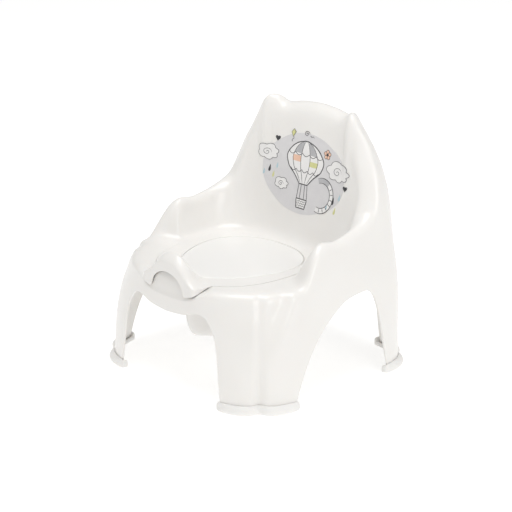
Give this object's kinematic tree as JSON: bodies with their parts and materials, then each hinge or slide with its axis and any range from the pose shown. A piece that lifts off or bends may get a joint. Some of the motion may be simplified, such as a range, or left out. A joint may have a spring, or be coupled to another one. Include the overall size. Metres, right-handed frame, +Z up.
{
  "type": "potty training chair",
  "caption": "Small moulded armchair for potty training, with a bear-eared backrest, a lift-out pot with a raised front hood, a lid over the bowl and toed foot pads.",
  "frame": {"origin": "on the floor, under the middle of the chair's bounding box", "axes": "-Y is the chair's front, +Z is up, and +X is on the right when looking along +Y"},
  "size_m": [0.341, 0.3148, 0.338],
  "materials": {
    "pearl_white_plastic": "satin gloss with a faint pearl",
    "printed_film": "printed film, satin",
    "off_white_rubber": "matt"
  },
  "bodies": {
    "chair": {"chair_shell": "pearl_white_plastic", "backrest_print": "printed_film", "front_right_foot_pad": "off_white_rubber", "front_left_foot_pad": "off_white_rubber", "rear_right_foot_pad": "off_white_rubber", "rear_left_foot_pad": "off_white_rubber"},
    "pot": {"pot": "pearl_white_plastic"},
    "lid": {"lid": "pearl_white_plastic"}
  },
  "joints": [
    {"name": "pot_lift", "type": "slide", "parent": "chair", "child": "pot", "axis": [0, 0, 1], "range_m": [0, 0.13]},
    {"name": "lid_lift", "type": "slide", "parent": "pot", "child": "lid", "axis": [0, 0, 1], "range_m": [0, 0.1]}
  ]
}
